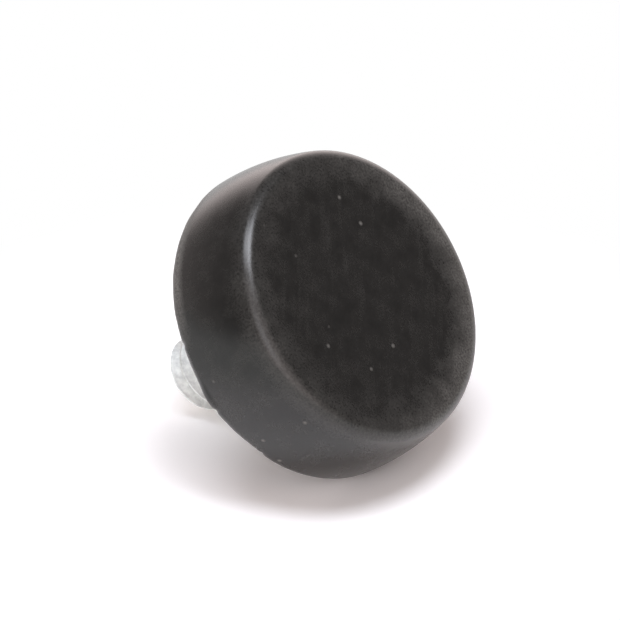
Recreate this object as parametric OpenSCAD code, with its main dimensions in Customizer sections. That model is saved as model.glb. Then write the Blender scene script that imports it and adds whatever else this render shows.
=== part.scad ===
// Moulded rubber foot with a threaded stud, as screwed under a bench instrument.
// It stands on its floor face at z = 0, and the stud points up, +Z, into the instrument.

/* [Rubber body] */
// Height of the rubber, from the floor face to the mounting face
body_height = 8.5; // [8:0.1:12]
// Diameter across the rounded back edge
back_diameter = 25.4; // [25:0.1:32]
// Radius of the rounding at the back edge
back_rounding = 1; // [0.6:0.05:1.4]
// Radius of the side's outward bow, seen in section
side_arc = 22; // [20:0.5:60]
// Diameter of the flat floor face, inside its rounding
flat_diameter = 21.7; // [19:0.1:22.4]
// Radius of the rounding between the floor face and the side
face_rounding = 1.15; // [0.6:0.05:1.8]

/* [Relief round the stud] */
// Diameter of the shallow relief in the mounting face
relief_diameter = 9.5; // [8:0.1:11]
// Depth of the relief
relief_depth = 0.4; // [0.2:0.05:0.8]

/* [Stud] */
// Outside diameter of the thread (1/4-20 UNC)
thread_diameter = 6.35; // [6:0.05:6.35]
// Length of stud that stands out from the mounting face
stud_length = 12.2; // [10:0.1:25.4]
// Length of shank between the head and the mounting face
buried_length = 3.2; // [2:0.1:3.4]
// Chamfer on the stud's end
tip_chamfer = 0.6; // [0.3:0.05:1]
// Diameter of the plain neck under the head, which the thread is rolled from
neck_diameter = 5.5; // [5:0.05:5.8]

/* [Stud head, inside the rubber] */
// Width of the hexagon across its flats
head_across_flats = 11.1; // [9.5:0.1:12]
// Thickness of the head
head_height = 3.2; // [2:0.1:3.2]
// Angle of the chamfer that turns the head's corners off
head_chamfer_angle = 30; // [20:1:40]

/* [Hidden] */

$fn = 96;
hexagon = 6;
// Lets one cut pass clean through a face
past = 1;

// Each rounding swells past the curve it meets by a hair, so that the two cross in a
// clean edge.
swell = 0.001;

flat_radius = flat_diameter / 2;
back_radius = back_diameter / 2;

rounding_centre = [flat_radius, face_rounding];
back_centre = [back_radius - back_rounding, body_height - back_rounding];

// The side is one arc that both roundings touch from inside.
face_reach = side_arc - face_rounding + swell;
back_reach = side_arc - back_rounding + swell;
apart = norm(back_centre - rounding_centre);
up_side = (back_centre - rounding_centre) / apart;
inward = [-up_side[1], up_side[0]];
along = (pow(face_reach, 2) - pow(back_reach, 2) + pow(apart, 2)) / (2 * apart);
side_centre = rounding_centre + along * up_side + sqrt(pow(face_reach, 2) - pow(along, 2)) * inward;
rounding_end = side_centre + (rounding_centre - side_centre) * side_arc / face_reach;
back_start = side_centre + (back_centre - side_centre) * side_arc / back_reach;

head_top_z = body_height - buried_length;
head_bottom_z = head_top_z - head_height;
head_corner_radius = head_across_flats / 2 / cos(180 / hexagon);
tip_z = body_height + stud_length;
relief_z = body_height - relief_depth;

// Half section of the drum: a core whose slanted edges are chords of its curves, and the
// curves themselves from the floor face up to the back
module drum_section() {
    polygon([
        [0, 0],
        [flat_radius, 0],
        rounding_end,
        back_start,
        [back_centre[0], body_height],
        [0, body_height]
    ]);
    translate(rounding_centre) circle(face_rounding);
    intersection() {
        translate(side_centre) circle(side_arc, $fn = 2 * $fn);
        translate([flat_radius, rounding_end[1]])
            square([back_radius, back_start[1] - rounding_end[1]]);
    }
    translate(back_centre) circle(back_rounding);
}

// Hexagon head, its lower corners turned off at an angle as on a cold-headed bolt
module head() {
    turned_radius = head_across_flats / 2;
    turned_height = (head_corner_radius + past - turned_radius) * tan(head_chamfer_angle);
    intersection() {
        translate([0, 0, head_bottom_z])
            cylinder(h = head_height, r = head_corner_radius, $fn = hexagon);
        union() {
            translate([0, 0, head_bottom_z])
                cylinder(h = turned_height, r1 = turned_radius, r2 = head_corner_radius + past);
            translate([0, 0, head_bottom_z + turned_height])
                cylinder(h = head_height, r = head_corner_radius + past);
        }
    }
}

// The head and neck that the rubber is moulded round
module buried_bolt() {
    head();
    translate([0, 0, head_top_z])
        cylinder(h = relief_z - head_top_z, d = neck_diameter);
}

module rubber_body() {
    color("#2d2c2b") difference() {
        rotate_extrude() drum_section();
        buried_bolt();
        translate([0, 0, relief_z]) cylinder(h = relief_depth + past, d = relief_diameter);
    }
}

module stud() {
    color("#c3c7c9") {
        buried_bolt();
        translate([0, 0, relief_z])
            cylinder(h = tip_z - tip_chamfer - relief_z, d = thread_diameter);
        translate([0, 0, tip_z - tip_chamfer])
            cylinder(h = tip_chamfer, d1 = thread_diameter, d2 = thread_diameter - 2 * tip_chamfer);
    }
}

rubber_body();
stud();
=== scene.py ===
import math

import bmesh
import bpy
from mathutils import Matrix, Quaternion, Vector, noise


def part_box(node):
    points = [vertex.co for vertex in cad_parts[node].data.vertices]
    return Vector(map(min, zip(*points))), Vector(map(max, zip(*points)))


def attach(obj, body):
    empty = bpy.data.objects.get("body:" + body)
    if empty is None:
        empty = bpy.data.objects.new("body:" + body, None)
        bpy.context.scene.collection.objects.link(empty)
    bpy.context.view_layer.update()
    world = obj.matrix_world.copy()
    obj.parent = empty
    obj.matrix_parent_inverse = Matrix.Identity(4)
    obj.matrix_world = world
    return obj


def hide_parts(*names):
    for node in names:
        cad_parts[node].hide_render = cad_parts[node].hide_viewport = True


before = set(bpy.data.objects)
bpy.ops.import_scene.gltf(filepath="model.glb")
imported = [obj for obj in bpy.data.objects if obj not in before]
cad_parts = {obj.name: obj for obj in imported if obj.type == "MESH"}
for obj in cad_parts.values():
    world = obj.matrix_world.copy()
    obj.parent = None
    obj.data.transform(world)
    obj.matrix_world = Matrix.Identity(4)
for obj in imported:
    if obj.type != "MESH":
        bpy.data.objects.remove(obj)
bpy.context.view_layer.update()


# ------------------------------------------------------------------------------ stud
# A steel bolt, cold-headed to a hexagon that the rubber grips. Its thread, 1/4 inch with 20 turns
# to the inch, is rolled, and leaves the end cupped. It is zinc plated before moulding.
mm = 0.001
columns = 144
thread_radius = 3.175
thread_pitch = 25.4 / 20
thread_start = 8.1
stud_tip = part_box("stud")[1].z / mm
tip_chamfer = 0.6
neck_radius = 2.75
weld_distance = 0.0002
head_bottom = 2.1
head_top = 5.3
head_half_flats = 5.55
head_chamfer = math.radians(30)
cup_radius = 2.1
cup_depth = 0.25

# A 60 degree thread over one pitch, as shares of the pitch from the middle of the crest. Its rows
# follow the crest, the flank and the root, and then the same way back.
crest_edge = 1 / 16
root_edge = 0.41
flank_slope = 1 / math.tan(math.radians(30))
thread_depth = (root_edge - crest_edge) * thread_pitch * flank_slope
thread_rows = [0, crest_edge, 0.15, 0.237, 0.324, root_edge, 0.45, 0.5]
thread_rows += [1 - share for share in thread_rows[-2:0:-1]]


def sheet_of_rings(mesh, rings, columns, climb=0):
    """Joins rings of points along Z into a sheet of quads. A ring is a function that gives its
    radius and height, in mm, at an angle. Each turn of a helix climbs by that many rings."""
    rows = []
    for ring in rings:
        row = []
        for column in range(columns):
            angle = math.tau * column / columns
            radius, height = ring(angle)
            point = Vector((radius * math.cos(angle), radius * math.sin(angle), height)) * mm
            row.append(mesh.verts.new(point))
        rows.append(row)
    for low in range(len(rings) - 1):
        for left in range(columns - 1):
            right = left + 1
            mesh.faces.new(
                (rows[low][left], rows[low][right], rows[low + 1][right], rows[low + 1][left])
            )
        if low + climb + 1 < len(rings):
            first, last = rows[low + climb][0], rows[low][-1]
            mesh.faces.new((last, first, rows[low + climb + 1][0], rows[low + 1][-1]))


def ring_at(radius, height):
    """A plain round ring."""
    return lambda angle: (radius, height)


def piece(name, mesh, material, crease=math.radians(32)):
    """Welds a sheet where its rings meet, and makes it a smooth piece with crisp edges."""
    bmesh.ops.remove_doubles(mesh, verts=mesh.verts, dist=weld_distance * mm)
    bmesh.ops.recalc_face_normals(mesh, faces=mesh.faces)
    data = bpy.data.meshes.new(name)
    mesh.to_mesh(data)
    mesh.free()
    data.materials.append(material)
    data.shade_smooth()
    data.set_sharp_from_angle(angle=crease)
    made = bpy.data.objects.new(name, data)
    bpy.context.scene.collection.objects.link(made)
    return made


def linear(colour):
    """An sRGB hex colour as the linear one that Blender works in."""
    made = []
    for start in (1, 3, 5):
        share = int(colour[start:start + 2], 16) / 255
        made.append(share / 12.92 if share <= 0.04045 else ((share + 0.055) / 1.055) ** 2.4)
    return (*made, 1)


def add_node(tree, kind, inputs=None, **settings):
    """Adds a node with its settings. Its inputs take plain values or other nodes' outputs."""
    made = tree.nodes.new(kind)
    for name, value in settings.items():
        setattr(made, name, value)
    for socket, value in (inputs or {}).items():
        if isinstance(value, bpy.types.NodeSocket):
            tree.links.new(value, made.inputs[socket])
        else:
            made.inputs[socket].default_value = value
    return made


def new_material(name):
    """An empty node material, with its output node."""
    made = bpy.data.materials.new(name)
    made.use_nodes = True
    made.node_tree.nodes.clear()
    return made, made.node_tree, add_node(made.node_tree, "ShaderNodeOutputMaterial")


def zinc_plated_steel():
    """Bright zinc with a clear passivate: a pale, slightly cool and clouded metal. The plating
    grows in patches, so its shine varies over about half a millimetre."""
    patch = 0.5
    patch_dark = 0.35
    patch_pale = 0.65
    dull_roughness = 0.7
    bright_roughness = 0.58

    # The real pits are finer. They are drawn as coarse as they need to show.
    pit = 0.08
    pit_depth = 0.01
    made, tree, output = new_material("zinc_plated_steel")
    place = add_node(tree, "ShaderNodeTexCoord").outputs["Object"]
    clouds = add_node(
        tree,
        "ShaderNodeTexNoise",
        {"Vector": place, "Scale": 1 / (patch * mm), "Detail": 3, "Roughness": 0.6},
    )
    pits = add_node(
        tree,
        "ShaderNodeTexNoise",
        {"Vector": place, "Scale": 1 / (pit * mm), "Detail": 2},
    )
    colour = add_node(tree, "ShaderNodeValToRGB", {"Fac": clouds.outputs["Fac"]})
    colour.color_ramp.elements[0].position = patch_dark
    colour.color_ramp.elements[0].color = linear("#d9dcdb")
    colour.color_ramp.elements[1].position = patch_pale
    colour.color_ramp.elements[1].color = linear("#f1f4f2")
    shine = add_node(
        tree,
        "ShaderNodeMapRange",
        {
            "Value": clouds.outputs["Fac"],
            "From Min": 0.3,
            "From Max": 0.7,
            "To Min": dull_roughness,
            "To Max": bright_roughness,
        },
    )
    bump = add_node(
        tree,
        "ShaderNodeBump",
        {"Height": pits.outputs["Fac"], "Strength": 0.5, "Distance": pit_depth * mm},
    )
    metal = add_node(
        tree,
        "ShaderNodeBsdfPrincipled",
        {
            "Base Color": colour.outputs["Color"],
            "Metallic": 1.0,
            "Roughness": shine.outputs["Result"],
            "Normal": bump.outputs["Normal"],
        },
    )
    tree.links.new(metal.outputs["BSDF"], output.inputs["Surface"])
    return made


def hexagon(angle):
    """Distance from the axis to the side of the bolt's head."""
    sixth = math.tau / 6
    return head_half_flats / math.cos(angle % sixth - sixth / 2)


def head_corner(angle):
    """Edge where the head's lower corners are turned off."""
    side = hexagon(angle)
    return side, head_bottom + (side - head_half_flats) * math.tan(head_chamfer)


def head_edge(angle):
    """Upper edge of the head."""
    return hexagon(angle), head_top


def thread_ring(turns):
    """A ring that follows the thread and climbs one pitch in a turn, held between its ends."""
    def ring(angle):
        height = (turns + angle / math.tau) * thread_pitch
        height = min(max(height, thread_start), stud_tip)
        share = (height / thread_pitch - angle / math.tau) % 1
        flank = (min(share, 1 - share) - crest_edge) * thread_pitch * flank_slope
        radius = thread_radius - min(max(flank, 0), thread_depth)
        lead_in = neck_radius + height - thread_start
        lead_out = thread_radius - tip_chamfer + stud_tip - height
        return min(radius, lead_in, lead_out), height
    return ring


def cup_ring(share):
    """A ring of the shallow cup in the stud's end."""
    return ring_at(cup_radius * share, stud_tip - cup_depth * (1 - share * share))


first_turn = math.floor(thread_start / thread_pitch) - 2
last_turn = math.ceil(stud_tip / thread_pitch) + 1
turns = range(first_turn, last_turn)
thread = [thread_ring(turn + share) for turn in turns for share in thread_rows]
bolt = bmesh.new()
head_and_neck = [
    ring_at(0, head_bottom),
    ring_at(head_half_flats, head_bottom),
    head_corner,
    head_edge,
    ring_at(neck_radius, head_top),
    ring_at(neck_radius, thread_start),
    thread[0],
]
sheet_of_rings(bolt, head_and_neck, columns)
sheet_of_rings(bolt, thread, columns, climb=len(thread_rows))
cup = [cup_ring(share) for share in (1, 0.75, 0.5, 0.25, 0)]
sheet_of_rings(bolt, [thread[-1]] + cup, columns)
stud = piece("stud_threaded", bolt, zinc_plated_steel())
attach(stud, "root")
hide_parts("stud")


# ------------------------------------------------------------------------------ rubber body
# Black rubber, compression moulded round the bolt's head in a two-part mould. The side bows, both
# edges are rounded, and the back one strays from its circle, with the scars of trimming.
body_columns = 480
body_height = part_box("rubber_body")[1].z / mm
back_radius = 12.7
back_rounding = 1.0
side_arc = 22
flat_radius = 10.85
face_rounding = 1.15
relief_radius = 4.75
relief_depth = 0.4
relief_edge = 0.15
face_steps = 16
rounding_steps = 16
side_steps = 24
edge_steps = 14
# Plain rings of the back, this far inside its edge and outside the relief, keep its faces even
edge_margin = 2
relief_margin = 2.5

# Where the back edge swells or is torn: heading and half width in degrees, size in mm
edge_marks = [
    (260, 10, 0.26),
    (237, 8, -0.18),
    (338, 5, -0.12),
    (301, 26, 0.1),
    (281.5, 1.2, -0.14),
    (255.5, 1.2, -0.16),
    (232.5, 1.6, -0.18),
]
edge_ripple = 0.03
ripple_rate = 9

# The section's arcs touch one another. Each centre is a radius and a height.
rounding_centre = Vector((flat_radius, face_rounding))
back_centre = Vector((back_radius - back_rounding, body_height - back_rounding))
face_reach = side_arc - face_rounding
back_reach = side_arc - back_rounding
apart = (back_centre - rounding_centre).length
up_side = (back_centre - rounding_centre) / apart
inward = Vector((-up_side.y, up_side.x))
along = (face_reach ** 2 - back_reach ** 2 + apart ** 2) / (2 * apart)
side_centre = rounding_centre + along * up_side + math.sqrt(face_reach ** 2 - along ** 2) * inward
side_start = math.asin((rounding_centre.y - side_centre.y) / face_reach)
side_end = math.asin((back_centre.y - side_centre.y) / back_reach)


def edge_stray(angle):
    """How far the back edge strays from its circle at an angle."""
    heading = math.degrees(angle)
    stray = edge_ripple * noise.noise(Vector((math.cos(angle), math.sin(angle), 0)) * ripple_rate)
    for middle, half_width, size in edge_marks:
        away = abs((heading - middle + 180) % 360 - 180) / half_width
        stray += size * math.exp(-2 * away * away)
    return stray


def straying_ring(radius, height, share):
    """A ring of the back edge, which takes a share of its strays."""
    return lambda angle: (radius + share * edge_stray(angle), height)


def arc_rings(centre, arc_radius, start, end, steps, strays=False):
    """Rings along an arc of the section, from one angle to another."""
    rings = []
    for step in range(steps + 1):
        turn = start + (end - start) * step / steps
        radius = centre.x + arc_radius * math.cos(turn)
        height = centre.y + arc_radius * math.sin(turn)
        share = min(2 * step / steps, 1) if strays else 0
        rings.append(straying_ring(radius, height, share))
    return rings


def moulded_black_rubber():
    """Carbon-filled rubber from a worn mould: near black, with a dull shine. Wiping has left it
    cloudy, and pale dust lies on it as a thin film and a few specks. The rim that turned against
    the bench is rubbed grey, and a painted highlight lies along the rest of the face's rounding
    and on one side of the back edge."""
    # Sizes of the patterns, in mm
    cloud = 1.8
    wipe_width = 1.0
    wipe_length = 7
    wipe_heading = math.radians(35)
    grain = 0.17
    grain_depth = 0.01
    speck_spacing = 2.6
    speck_radius = 0.26

    # The pale rim grows from one radius to another, and the clouds make it ragged. Round one heading
    # it is rubbed wear, and at the other headings its least share is a painted highlight along the
    # face's edge and rounding. A reach is the cosine of how far round from its heading the rim grows
    # past that least share.
    wear_and_sheen_start = 9.4
    wear_and_sheen_end = 13.6
    raggedness = 3.0
    wear_and_sheen_low = 0.2
    wear_and_sheen_heading = math.radians(110)
    wear_and_sheen_reach = -0.3
    painted_sheen_least = 0.22

    # The painted highlight on the back edge grows with the height and the radius, round one heading.
    edge_highlight_low = 6.6
    edge_highlight_high = 7.6
    edge_highlight_start = 11.3
    edge_highlight_end = 12.5
    edge_highlight_heading = math.radians(318)
    edge_highlight_reach = 0.75

    # How far each kind of dust, wear or painted highlight turns the rubber from black to pale, as a
    # share. A pattern starts to show it at one value of its noise, and shows it in full at another.
    film_share = 0.021
    film_start = 0.38
    film_full = 0.72
    wipe_share = 0.014
    wipe_start = 0.5
    wipe_full = 0.75
    wear_and_sheen_share = 0.17
    edge_highlight_share = 0.24
    speck_share = 0.32
    grain_start = 0.35
    grain_full = 0.65
    grain_least = 0.35
    grain_most = 1.65

    # Clean rubber shines, and it is dull where the dust, the wear and the painted highlights lie.
    clean_roughness = 0.26
    dusty_roughness = 0.5
    dull_share = 0.25
    made, tree, output = new_material("moulded_black_rubber")
    metres = add_node(tree, "ShaderNodeTexCoord").outputs["Object"]
    place = add_node(
        tree, "ShaderNodeVectorMath", {0: metres, "Scale": 1 / mm}, operation="SCALE"
    ).outputs["Vector"]
    wiped = add_node(
        tree,
        "ShaderNodeMapping",
        {
            "Vector": place,
            "Rotation": (0, 0, wipe_heading),
            "Scale": (wipe_length, wipe_width, wipe_length),
        },
        vector_type="TEXTURE",
    ).outputs["Vector"]
    clouds, grains, wipes = (
        add_node(
            tree,
            "ShaderNodeTexNoise",
            {"Vector": where, "Scale": 1 / size, "Detail": detail, "Roughness": 0.6},
        ).outputs["Fac"]
        for where, size, detail in ((place, cloud, 4), (place, grain, 2), (wiped, 1, 3))
    )

    # The pale rim: a ring of the floor face's edge and rounding, strongest at one heading, with a
    # ragged edge. Round that heading it is rubbed wear; where it keeps its least share it is a
    # painted highlight.
    flat_place = add_node(
        tree,
        "ShaderNodeVectorMath",
        {0: place, 1: (1, 1, 0)},
        operation="MULTIPLY",
    ).outputs["Vector"]
    reach = add_node(tree, "ShaderNodeVectorMath", {0: flat_place}, operation="LENGTH")
    ragged = add_node(
        tree,
        "ShaderNodeMath",
        {0: clouds, 1: raggedness, 2: reach.outputs["Value"]},
        operation="MULTIPLY_ADD",
    )
    ring = add_node(
        tree,
        "ShaderNodeMapRange",
        {"Value": ragged.outputs["Value"], "From Min": wear_and_sheen_start, "From Max": wear_and_sheen_end},
        interpolation_type="SMOOTHSTEP",
    )
    way = add_node(tree, "ShaderNodeVectorMath", {0: flat_place}, operation="NORMALIZE")
    facing = add_node(
        tree,
        "ShaderNodeVectorMath",
        {0: way.outputs["Vector"], 1: (math.cos(wear_and_sheen_heading), math.sin(wear_and_sheen_heading), 0)},
        operation="DOT_PRODUCT",
    )
    wear_and_sheen_way = add_node(
        tree,
        "ShaderNodeMapRange",
        {
            "Value": facing.outputs["Value"],
            "From Min": wear_and_sheen_reach,
            "From Max": 1.0,
            "To Min": painted_sheen_least,
        },
        interpolation_type="SMOOTHSTEP",
    )
    height = add_node(tree, "ShaderNodeSeparateXYZ", {0: place})
    low = add_node(
        tree,
        "ShaderNodeMapRange",
        {"Value": height.outputs["Z"], "From Min": face_rounding * 2, "From Max": wear_and_sheen_low},
        interpolation_type="SMOOTHSTEP",
    )
    rim = add_node(
        tree,
        "ShaderNodeMath",
        {0: ring.outputs["Result"], 1: wear_and_sheen_way.outputs["Result"]},
        operation="MULTIPLY",
    )
    rim = add_node(
        tree,
        "ShaderNodeMath",
        {0: rim.outputs["Value"], 1: low.outputs["Result"]},
        operation="MULTIPLY",
    )

    # The back edge's painted highlight: the outermost rubber near the back, palest at one heading
    high = add_node(
        tree,
        "ShaderNodeMapRange",
        {"Value": height.outputs["Z"], "From Min": edge_highlight_low, "From Max": edge_highlight_high},
        interpolation_type="SMOOTHSTEP",
    )
    outer = add_node(
        tree,
        "ShaderNodeMapRange",
        {"Value": reach.outputs["Value"], "From Min": edge_highlight_start, "From Max": edge_highlight_end},
        interpolation_type="SMOOTHSTEP",
    )
    edge = add_node(
        tree,
        "ShaderNodeMath",
        {0: high.outputs["Result"], 1: outer.outputs["Result"]},
        operation="MULTIPLY",
    )
    toward_edge_highlight = add_node(
        tree,
        "ShaderNodeVectorMath",
        {0: way.outputs["Vector"], 1: (math.cos(edge_highlight_heading), math.sin(edge_highlight_heading), 0)},
        operation="DOT_PRODUCT",
    )
    edge_highlight_way = add_node(
        tree,
        "ShaderNodeMapRange",
        {"Value": toward_edge_highlight.outputs["Value"], "From Min": edge_highlight_reach, "From Max": 1.0},
        interpolation_type="SMOOTHSTEP",
    )
    painted_edge_highlight = add_node(
        tree,
        "ShaderNodeMath",
        {0: edge.outputs["Value"], 1: edge_highlight_way.outputs["Result"]},
        operation="MULTIPLY",
    )

    # The film and the streaks are thin in their patterns' dark places, and the grain breaks them up.
    film = add_node(
        tree,
        "ShaderNodeMapRange",
        {"Value": clouds, "From Min": film_start, "From Max": film_full, "To Max": film_share},
    )
    streaks = add_node(
        tree,
        "ShaderNodeMapRange",
        {"Value": wipes, "From Min": wipe_start, "From Max": wipe_full, "To Max": wipe_share},
    )
    dust_and_sheen = add_node(
        tree,
        "ShaderNodeMath",
        {0: film.outputs["Result"], 1: streaks.outputs["Result"]},
        operation="ADD",
    )
    # Adds the pale rim: rubbed wear, and a painted highlight along the rounding
    dust_and_sheen = add_node(
        tree,
        "ShaderNodeMath",
        {0: rim.outputs["Value"], 1: wear_and_sheen_share, 2: dust_and_sheen.outputs["Value"]},
        operation="MULTIPLY_ADD",
    )
    # Adds the painted highlight on the back edge
    dust_and_sheen = add_node(
        tree,
        "ShaderNodeMath",
        {0: painted_edge_highlight.outputs["Value"], 1: edge_highlight_share, 2: dust_and_sheen.outputs["Value"]},
        operation="MULTIPLY_ADD",
    )
    broken = add_node(
        tree,
        "ShaderNodeMapRange",
        {
            "Value": grains,
            "From Min": grain_start,
            "From Max": grain_full,
            "To Min": grain_least,
            "To Max": grain_most,
        },
    )
    dust_and_sheen = add_node(
        tree,
        "ShaderNodeMath",
        {0: dust_and_sheen.outputs["Value"], 1: broken.outputs["Result"]},
        operation="MULTIPLY",
    )

    # One speck in each cell of the pattern, and it shows where the surface cuts through it
    away = add_node(tree, "ShaderNodeTexVoronoi", {"Vector": place, "Scale": 1 / speck_spacing})
    speck = add_node(
        tree,
        "ShaderNodeMapRange",
        {
            "Value": away.outputs["Distance"],
            "From Min": speck_radius / speck_spacing,
            "From Max": 0,
            "To Max": speck_share,
        },
        interpolation_type="SMOOTHSTEP",
    )
    dust_and_sheen = add_node(
        tree,
        "ShaderNodeMath",
        {0: dust_and_sheen.outputs["Value"], 1: speck.outputs["Result"]},
        operation="MAXIMUM",
    ).outputs["Value"]

    # Dust, wear and the painted highlights all turn the rubber towards one pale colour
    colour = add_node(
        tree,
        "ShaderNodeMix",
        {0: dust_and_sheen, 6: linear("#111211"), 7: linear("#a9a8a3")},
        data_type="RGBA",
        clamp_factor=True,
    )
    dull = add_node(
        tree,
        "ShaderNodeMapRange",
        {
            "Value": dust_and_sheen,
            "From Max": dull_share,
            "To Min": clean_roughness,
            "To Max": dusty_roughness,
        },
    )
    bump = add_node(
        tree,
        "ShaderNodeBump",
        {"Height": grains, "Strength": 0.25, "Distance": grain_depth * mm},
    )
    rubber = add_node(
        tree,
        "ShaderNodeBsdfPrincipled",
        {
            "Base Color": colour.outputs[2],
            "IOR": 1.52,
            "Roughness": dull.outputs["Result"],
            "Normal": bump.outputs["Normal"],
        },
    )
    tree.links.new(rubber.outputs["BSDF"], output.inputs["Surface"])
    return made


square_down = -math.pi / 2
square_up = math.pi / 2
face_rings = [ring_at(flat_radius * step / face_steps, 0) for step in range(face_steps)]
rounding_rings = arc_rings(rounding_centre, face_rounding, square_down, side_start, rounding_steps)
side_rings = arc_rings(side_centre, side_arc, side_start, side_end, side_steps)
edge_rings = arc_rings(back_centre, back_rounding, side_end, square_up, edge_steps, strays=True)
back_rings = [
    ring_at(back_radius - edge_margin, body_height),
    ring_at(relief_radius + relief_margin, body_height),
    ring_at(relief_radius + relief_edge, body_height),
    ring_at(relief_radius, body_height - relief_edge),
    ring_at(relief_radius, body_height - relief_depth),
    ring_at(neck_radius, body_height - relief_depth),
]
cavity_rings = [
    ring_at(neck_radius, head_top),
    head_edge,
    head_corner,
    ring_at(head_half_flats, head_bottom),
    ring_at(0, head_bottom),
]
drum = bmesh.new()
sheet_of_rings(
    drum,
    face_rings + rounding_rings + side_rings[1:] + edge_rings[1:] + back_rings + cavity_rings,
    body_columns,
)
body = piece("rubber_moulding", drum, moulded_black_rubber())
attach(body, "root")
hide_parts("rubber_body")


# ------------------------------------------------------------------------------ floors
# Two sheets of white paper. The foot stands on the level one. The other is the desk that the foot
# is dropped on, resting on its rim and on the stud's end, and only a view from below shows it.
lean_heading = math.radians(173.6)
level_radius = 400
# The level sheet lies a hair below the foot, so that the two never share a plane
level_gap = 0.02
leaning_radius = 300
paper_colour = "#f4f4f4"
exposure_of_paper = 1.22

outward = Vector((math.cos(lean_heading), math.sin(lean_heading), 0))
upward = Vector((0, 0, 1))
stud_touch = outward * thread_radius + upward * (stud_tip - tip_chamfer)
to_stud = Vector((thread_radius, stud_tip - tip_chamfer)) - back_centre
touch_turn = math.atan2(to_stud.y, to_stud.x) - math.acos(back_rounding / to_stud.length)
rim_touch = outward * (back_centre.x + back_rounding * math.cos(touch_turn))
rim_touch += upward * (back_centre.y + back_rounding * math.sin(touch_turn))
along_sheet = (stud_touch - rim_touch).normalized()
sideways = along_sheet.cross(outward).normalized()
leaning_up = along_sheet.cross(sideways).normalized()
if leaning_up.dot(upward) > 0:
    leaning_up.negate()


def white_paper(name, clear_radius, white_radius, seen_from_below):
    """Matt white paper that catches the foot's shadow and fades to plain white away from it."""
    made, tree, output = new_material(name)
    ray = add_node(tree, "ShaderNodeLightPath").outputs
    place = add_node(tree, "ShaderNodeTexCoord").outputs["Object"]
    side = add_node(tree, "ShaderNodeNewGeometry").outputs
    away = add_node(tree, "ShaderNodeVectorMath", {0: place}, operation="LENGTH")
    fade = add_node(
        tree,
        "ShaderNodeMapRange",
        {
            "Value": away.outputs["Value"],
            "From Min": clear_radius * mm,
            "From Max": white_radius * mm,
        },
        interpolation_type="SMOOTHSTEP",
    )
    looked_at = add_node(
        tree,
        "ShaderNodeMath",
        {0: ray["Is Camera Ray"], 1: ray["Is Glossy Ray"]},
        operation="MAXIMUM",
    )
    brightness = add_node(
        tree,
        "ShaderNodeMapRange",
        {"Value": looked_at.outputs["Value"], "To Min": 1.0, "To Max": exposure_of_paper},
    )
    colour = add_node(
        tree,
        "ShaderNodeVectorMath",
        {0: linear(paper_colour)[:3], "Scale": brightness.outputs["Result"]},
        operation="SCALE",
    )
    paper = add_node(tree, "ShaderNodeBsdfDiffuse", {"Color": colour.outputs["Vector"]})
    white = add_node(tree, "ShaderNodeEmission", {"Strength": 1.0})
    faded = add_node(
        tree,
        "ShaderNodeMixShader",
        {0: fade.outputs["Result"], 1: paper.outputs["BSDF"], 2: white.outputs["Emission"]},
    )
    front = add_node(tree, "ShaderNodeMath", {0: 1.0, 1: side["Backfacing"]}, operation="SUBTRACT")
    shown = front.outputs["Value"]

    # Above the level sheet, the leaning one shows only to a camera that looks through the level
    # one's back, and so from below. Reflections always show it.
    if seen_from_below:
        height = add_node(tree, "ShaderNodeSeparateXYZ", {0: side["Position"]})
        below = add_node(
            tree,
            "ShaderNodeMath",
            {0: height.outputs["Z"], 1: 0.0},
            operation="LESS_THAN",
        )
        not_camera = add_node(
            tree,
            "ShaderNodeMath",
            {0: 1.0, 1: ray["Is Camera Ray"]},
            operation="SUBTRACT",
        )
        through = add_node(
            tree,
            "ShaderNodeMath",
            {0: ray["Transparent Depth"], 1: below.outputs["Value"]},
            operation="MAXIMUM",
        )
        allowed = add_node(
            tree,
            "ShaderNodeMath",
            {0: through.outputs["Value"], 1: not_camera.outputs["Value"]},
            operation="MAXIMUM",
        )
        shown = add_node(
            tree,
            "ShaderNodeMath",
            {0: shown, 1: allowed.outputs["Value"]},
            operation="MULTIPLY",
            use_clamp=True,
        ).outputs["Value"]
    clear = add_node(tree, "ShaderNodeBsdfTransparent")
    surface = add_node(
        tree,
        "ShaderNodeMixShader",
        {0: shown, 1: clear.outputs["BSDF"], 2: faded.outputs["Shader"]},
    )
    tree.links.new(surface.outputs["Shader"], output.inputs["Surface"])
    return made


def paper_sheet(name, radius, centre, up, material):
    """A round sheet, its front facing up."""
    sheet = bmesh.new()
    bmesh.ops.create_circle(sheet, cap_ends=True, segments=96, radius=radius * mm)
    made = piece(name, sheet, material)
    made.location = centre * mm
    made.rotation_mode = "QUATERNION"
    made.rotation_quaternion = up.to_track_quat("Z", "Y")
    made.visible_shadow = False
    return made


level = paper_sheet(
    "level_floor",
    level_radius,
    upward * -level_gap,
    upward,
    white_paper("level_paper", clear_radius=22, white_radius=45, seen_from_below=False),
)
level.visible_diffuse = False
level.visible_glossy = False
level.visible_transmission = False
leaning_centre = rim_touch.lerp(stud_touch, 0.5)
leaning = paper_sheet(
    "leaning_floor",
    leaning_radius,
    leaning_centre,
    leaning_up,
    white_paper("leaning_paper", clear_radius=24, white_radius=40, seen_from_below=True),
)
leaning.visible_diffuse = False


# ------------------------------------------------------------------------------ light
# A plain studio round the leaning sheet: two soft boxes high over the foot and a weak one in front
# of it, in a dim room. The room has a pale backdrop, pale places in front, below and at the left,
# and a pale ceiling for a foot that stands on the level sheet.
middle = Vector((0, 0, body_height))
lamp_colour = "#f4f7ff"
room_colour = "#fff1ee"
room_brightness = 0.22
box_distance = 250

# The studio's own directions, as someone in front of the leaning sheet has them
to_viewer = Vector((0, -0.72, -0.7))
to_right = leaning_up.cross(to_viewer).normalized()
to_front = to_right.cross(leaning_up)


def studio_way(right, front, up):
    """A direction in the studio, from its shares to the right, to the front and straight up."""
    return (right * to_right + front * to_front + up * leaning_up).normalized()


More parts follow.
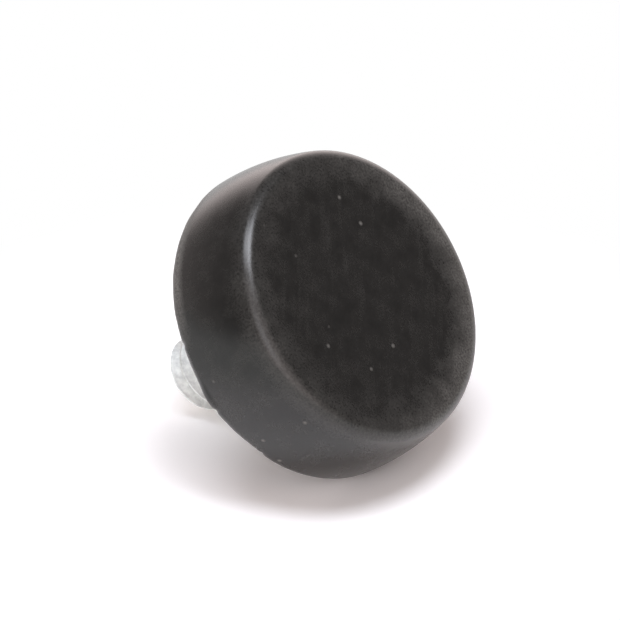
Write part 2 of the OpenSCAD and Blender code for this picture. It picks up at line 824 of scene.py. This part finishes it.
def soft_box(name, toward, half_angle, brightness):
    """A round soft lamp that shines on the foot. Its brightness is its own, with white as 1."""
    radius = box_distance * math.tan(math.radians(half_angle)) * mm
    data = bpy.data.lights.new(name, "AREA")
    data.shape = "DISK"
    data.size = 2 * radius
    data.energy = brightness * math.pi * math.pi * radius * radius
    data.color = linear(lamp_colour)[:3]
    made = bpy.data.objects.new(name, data)
    bpy.context.scene.collection.objects.link(made)
    made.location = (middle + toward.normalized() * box_distance) * mm
    made.rotation_mode = "QUATERNION"
    made.rotation_quaternion = toward.to_track_quat("Z", "Y")
    made.visible_camera = False
    return made


soft_box("overhead_box", studio_way(0.15, 0.15, 1), half_angle=12, brightness=11.5)
soft_box("left_box", studio_way(-0.25, 0.1, 1), half_angle=12, brightness=7)
soft_box("front_box", studio_way(-0.15, 0.85, 0.45), half_angle=18, brightness=1.2)

world = bpy.data.worlds.new("studio")
world.use_nodes = True
studio = world.node_tree
studio.nodes.clear()
look = add_node(studio, "ShaderNodeTexCoord").outputs["Generated"]


def pale_place(rest, toward, half_angle, brightness):
    """Brightens the rest of the room round a direction, less and less out to a half angle."""
    facing = add_node(
        studio,
        "ShaderNodeVectorMath",
        {0: look, 1: toward.normalized()},
        operation="DOT_PRODUCT",
    )
    place = add_node(
        studio,
        "ShaderNodeMapRange",
        {
            "Value": facing.outputs["Value"],
            "From Min": math.cos(math.radians(half_angle)),
            "From Max": 1.0,
            "To Max": brightness,
        },
        interpolation_type="SMOOTHSTEP",
    )
    both = add_node(studio, "ShaderNodeMath", {0: rest, 1: place.outputs["Result"]}, operation="ADD")
    return both.outputs["Value"]


glow = pale_place(room_brightness, studio_way(0.2, -0.9, -0.35), half_angle=65, brightness=2.6)
glow = pale_place(glow, upward, half_angle=50, brightness=1.2)
glow = pale_place(glow, studio_way(0.1, 0.8, 0.5), half_angle=60, brightness=1.0)
glow = pale_place(glow, studio_way(0, 0.8, -0.6), half_angle=70, brightness=1.5)
glow = pale_place(glow, studio_way(-1, -0.3, 0), half_angle=40, brightness=0.2)
seen = add_node(studio, "ShaderNodeLightPath").outputs["Is Camera Ray"]
room = add_node(studio, "ShaderNodeBackground", {"Color": linear(room_colour), "Strength": glow})
white = add_node(studio, "ShaderNodeBackground", {"Color": (1, 1, 1, 1), "Strength": 1.0})
shown = add_node(
    studio,
    "ShaderNodeMixShader",
    {0: seen, 1: room.outputs["Background"], 2: white.outputs["Background"]},
)
add_node(studio, "ShaderNodeOutputWorld", {"Surface": shown.outputs["Shader"]})
bpy.context.scene.world = world
bpy.context.scene.view_settings.view_transform = "Standard"


# ------------------------------------------------------------------------------ camera
# A long lens, nearly square to the foot's lower edge. It is rolled so that the leaning sheet lies
# level in the view.
camera_aim = Vector((0.668, -3.103, 3.179))
camera_azimuth = math.radians(-0.115)
camera_elevation = math.radians(-44.29)
camera_distance = 463.79
camera_roll = math.radians(-116.098)
lens_length = 348.39

back = Vector(
    (
        math.sin(camera_azimuth) * math.cos(camera_elevation),
        -math.cos(camera_azimuth) * math.cos(camera_elevation),
        math.sin(camera_elevation),
    )
)
lens = bpy.data.cameras.new("camera")
lens.lens = lens_length
lens.sensor_width = 36
lens.clip_start = 0.01
lens.clip_end = 10
camera = bpy.data.objects.new("camera", lens)
bpy.context.scene.collection.objects.link(camera)
camera.location = (camera_aim + back * camera_distance) * mm
camera.rotation_mode = "QUATERNION"
camera.rotation_quaternion = (-back).to_track_quat("-Z", "Y") @ Quaternion((0, 0, 1), camera_roll)
bpy.context.scene.camera = camera
